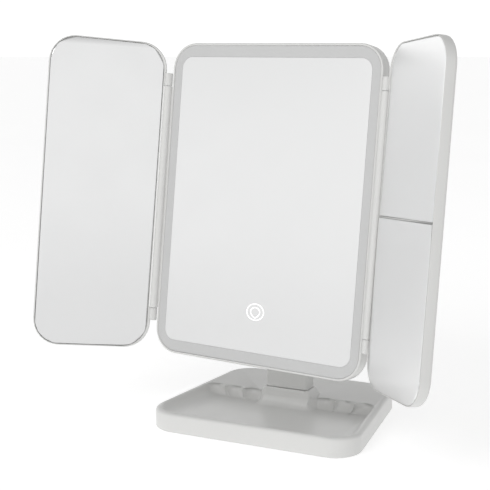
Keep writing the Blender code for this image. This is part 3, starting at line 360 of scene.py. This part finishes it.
# ---- main mirror: silvered middle, etched light band and touch mark ------------------
def main_glass():
    clear = arc_box(*SILVER_HALF, SILVER_CORNER)
    bm = skin([(clear, GLASS_BACK), (clear, GLASS_FACE)])
    middle = keep("main_silvered_glass", bm, silver, panel)
    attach(middle, "head")
    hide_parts("main_mirror_glass")

    inner = arc_box(SILVER_HALF[0] + ETCH_LINE, SILVER_HALF[1] + ETCH_LINE,
                    SILVER_CORNER + ETCH_LINE)
    outer = arc_box(*GLASS_HALF, GLASS_CORNER)
    eased = arc_box(GLASS_HALF[0] - GLASS_EASE, GLASS_HALF[1] - GLASS_EASE,
                    GLASS_CORNER - GLASS_EASE)
    bm = skin([(inner, GLASS_BACK), (inner, GLASS_FACE), (eased, GLASS_FACE),
               (outer, GLASS_FACE - GLASS_EASE), (outer, GLASS_BACK)], ring=True)
    band = keep("etched_light_band", bm, frost, panel)
    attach(band, "head")


def drop_outline(radius, point, centre, steps=40):
    """A circle drawn out to a soft point at its foot."""
    points = []
    for i in range(steps):
        angle = 2 * math.pi * i / steps
        pull = max(0.0, -math.sin(angle)) ** 6 * (point - radius)
        points.append(Vector((centre[0] + radius * math.cos(angle) * (1 - 0.10 * pull / radius),
                              centre[1] + radius * math.sin(angle) - pull)))
    return points


def touch_mark():
    """A fine etched ring round a drop outline: tap here to switch and dim the light."""
    centre = (0, -ICON_BELOW)
    high, low = GLASS_FACE + 0.00012, GLASS_FACE - 0.0001
    drop = (centre[0], centre[1] + 0.0001)
    for name, inner, outer in (
            ("touch_ring", circle(RING[0], centre), circle(RING[1], centre)),
            ("touch_drop", drop_outline(*DROP_INSIDE, drop),
             drop_outline(*DROP_OUTSIDE, drop))):
        bm = skin([(inner, low), (inner, high), (outer, high), (outer, low)], ring=True)
        squat = Matrix.Translation((0, -ICON_BELOW, 0)) @ Matrix.Diagonal((1, ICON_SQUAT, 1, 1))
        bm.transform(squat @ Matrix.Translation((0, ICON_BELOW, 0)))
        # The ring and drop carry the touch mark's faint painted glow.
        mark = keep(name, bm, etched_mark_painted_emission, panel)
        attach(mark, "head")


main_glass()
touch_mark()


# ---- screw heads with a cross recess, placed by Geometry Nodes -----------------------
def screw_head():
    """One pan head, its seat at z = 0, with a cross recess sunk in the crown."""
    bm = bmesh.new()
    profile = ((0.0026, 0.0), (0.0026, 0.0005), (0.0023, 0.0010), (0.0016, 0.00132),
               (0.0, SCREW_HEAD))
    points = [bm.verts.new((radius, 0, z)) for radius, z in profile]
    edges = [bm.edges.new(pair) for pair in zip(points, points[1:])]
    bmesh.ops.spin(bm, geom=points + edges, cent=(0, 0, 0), axis=(0, 0, 1), steps=24,
                   angle=2 * math.pi)
    bmesh.ops.remove_doubles(bm, verts=bm.verts, dist=1e-6)
    rim = [edge for edge in bm.edges if edge.is_boundary]
    bmesh.ops.holes_fill(bm, edges=rim)
    bmesh.ops.recalc_face_normals(bm, faces=bm.faces)
    mesh = bpy.data.meshes.new("pan_head")
    bm.to_mesh(mesh)
    bm.free()
    head = bpy.data.objects.new("pan_head", mesh)
    bpy.context.scene.collection.objects.link(head)
    bits = []
    for size in ((0.0026, 0.0005), (0.0005, 0.0026)):
        bm = bmesh.new()
        scale = Matrix.Diagonal((*size, 0.0012, 1))
        bmesh.ops.create_cube(bm, size=1.0, 
                              matrix=Matrix.Translation((0, 0, SCREW_HEAD)) @ scale)
        mesh = bpy.data.meshes.new("bit")
        bm.to_mesh(mesh)
        bm.free()
        bit = bpy.data.objects.new("bit", mesh)
        bpy.context.scene.collection.objects.link(bit)
        bits.append(bit)
        cut = head.modifiers.new("cross", "BOOLEAN")
        cut.operation = "DIFFERENCE"
        cut.solver = "EXACT"
        cut.object = bit
    settle(head)
    for bit in bits:
        bpy.data.objects.remove(bit, do_unlink=True)
    head.data.shade_smooth()
    head.data.set_sharp_from_angle(angle=math.radians(35))
    return head


def scatter_tree(surface):
    """Copies a piece to every point, turned to the point's own direction."""
    tree = bpy.data.node_groups.new("place_on_points", "GeometryNodeTree")
    face = tree.interface
    face.new_socket("Geometry", in_out="INPUT", socket_type="NodeSocketGeometry")
    piece = face.new_socket("Piece", in_out="INPUT", socket_type="NodeSocketObject")
    size = face.new_socket("Size", in_out="INPUT", socket_type="NodeSocketFloat")
    face.new_socket("Geometry", in_out="OUTPUT", socket_type="NodeSocketGeometry")
    size.default_value = 1.0
    enter, leave = tree.nodes.new("NodeGroupInput"), tree.nodes.new("NodeGroupOutput")
    info = tree.nodes.new("GeometryNodeObjectInfo")
    way = tree.nodes.new("GeometryNodeInputNamedAttribute")
    way.data_type = "FLOAT_VECTOR"
    way.inputs["Name"].default_value = "way"
    turn = tree.nodes.new("FunctionNodeAlignRotationToVector")
    turn.axis = "Z"
    place = tree.nodes.new("GeometryNodeInstanceOnPoints")
    real = tree.nodes.new("GeometryNodeRealizeInstances")
    paint = tree.nodes.new("GeometryNodeSetMaterial")
    paint.inputs["Material"].default_value = surface
    link = tree.links.new
    link(enter.outputs["Geometry"], place.inputs["Points"])
    link(enter.outputs["Piece"], info.inputs["Object"])
    link(info.outputs["Geometry"], place.inputs["Instance"])
    link(way.outputs["Attribute"], turn.inputs["Vector"])
    link(turn.outputs["Rotation"], place.inputs["Rotation"])
    link(enter.outputs["Size"], place.inputs["Scale"])
    link(place.outputs["Instances"], real.inputs["Geometry"])
    link(real.outputs["Geometry"], paint.inputs["Geometry"])
    link(paint.outputs["Geometry"], leave.inputs["Geometry"])
    return tree, piece.identifier, size.identifier


def scatter(name, piece, places, surface, body, size=1.0):
    """places is a list of (point, direction) in the row frame."""
    mesh = bpy.data.meshes.new(name)
    mesh.from_pydata([tuple(point) for point, _ in places], [], [])
    way = mesh.attributes.new("way", "FLOAT_VECTOR", "POINT")
    for i, (_, direction) in enumerate(places):
        way.data[i].vector = direction
    made = bpy.data.objects.new(name, mesh)
    bpy.context.scene.collection.objects.link(made)
    tree, piece_id, size_id = scatter_tree(surface)
    spread_out = made.modifiers.new("place", "NODES")
    spread_out.node_group = tree
    spread_out[piece_id] = piece
    spread_out[size_id] = size
    settle(made)
    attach(made, body)
    return made


def node_middle(node):
    low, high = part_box(node)
    return (Vector(low) + Vector(high)) / 2


def screws():
    head = screw_head()
    behind = -(panel.to_3x3() @ Vector((0, 0, 1)))
    for label, names, out, body in (
            ("cover", [f"rear_cover_screw_{i}" for i in range(1, 5)], behind, "head"),
            ("bracket", [f"bracket_screw_{i}" for i in range(1, 5)], behind, "head"),
            ("base", [f"base_screw_{i}" for i in range(1, 5)], Vector((0, 0, -1)), "base")):
        places = []
        for name in names:
            points = [vertex.co for vertex in nodes[name].data.vertices]
            reach = max(point.dot(out) for point in points)
            middle = node_middle(name)
            crown = middle + out * (reach - middle.dot(out))
            places.append((crown - out * SCREW_HEAD, out))
        made = scatter(f"{label}_screw_heads", head, places, steel, body)
        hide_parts(*names)
    bpy.data.objects.remove(head, do_unlink=True)


screws()


# ---- floor, light and camera ---------------------------------------------------------
def studio():
    bm = bmesh.new()
    bmesh.ops.create_circle(bm, cap_ends=True, segments=96, radius=FLOOR_RADIUS)
    floor_paint, tree, shader = new_material("studio_floor")
    tone = object_noise(tree, 2)
    tree.links.new(ramp(tree, tone, (0.78, 0.78, 0.78), (0.80, 0.80, 0.80)),
                   shader.inputs["Base Color"])
    shader.inputs["Roughness"].default_value = 0.9
    shader.inputs["Specular IOR Level"].default_value = 0.1
    shader.inputs["Emission Color"].default_value = (1, 1, 1, 1)
    shader.inputs["Emission Strength"].default_value = FLOOR_GLOW
    floor = keep("studio_floor", bm, floor_paint)

    world = bpy.data.worlds.new("studio")
    bpy.context.scene.world = world
    world.use_nodes = True
    tree = world.node_tree
    back = tree.nodes["Background"]
    place = tree.nodes.new("ShaderNodeTexCoord")
    split = tree.nodes.new("ShaderNodeSeparateXYZ")
    tree.links.new(place.outputs["Generated"], split.inputs["Vector"])
    level = between(tree, split.outputs["Z"], ROOM_RISE, (ROOM_WALL, ROOM_CEILING))
    for side, start, end, target in ((SHADED_SIDE, 0.5, 0.95, SHADED_LEVEL),
                                     (BACK_SIDE, 0.3, 0.80, BACK_LEVEL)):
        across = tree.nodes.new("ShaderNodeVectorMath")
        across.operation = "DOT_PRODUCT"
        across.inputs[1].default_value = side
        tree.links.new(place.outputs["Generated"], across.inputs[0])
        level = combine(tree, "MULTIPLY", level,
                        between(tree, across.outputs["Value"], (start, end), (1.0, target)))
    tree.links.new(level, back.inputs["Color"])
    back.inputs["Strength"].default_value = 1.0
    bpy.context.scene.view_settings.view_transform = "Standard"

    for name, place, aim, size, power in LAMPS:
        light = bpy.data.lights.new(name, "AREA")
        light.shape = "DISK"
        light.size = size
        light.energy = power
        lamp = bpy.data.objects.new(name, light)
        lamp.location = place
        lamp.rotation_euler = (Vector(aim) - Vector(place)).to_track_quat("-Z", "Y").to_euler()
        bpy.context.scene.collection.objects.link(lamp)

    camera = bpy.data.cameras.new("camera")
    camera.lens = CAMERA_LENS
    camera.sensor_width = 36
    eye = bpy.data.objects.new("camera", camera)
    eye.location = CAMERA_PLACE
    eye.rotation_euler = CAMERA_TURN
    bpy.context.scene.collection.objects.link(eye)
    bpy.context.scene.camera = eye


studio()
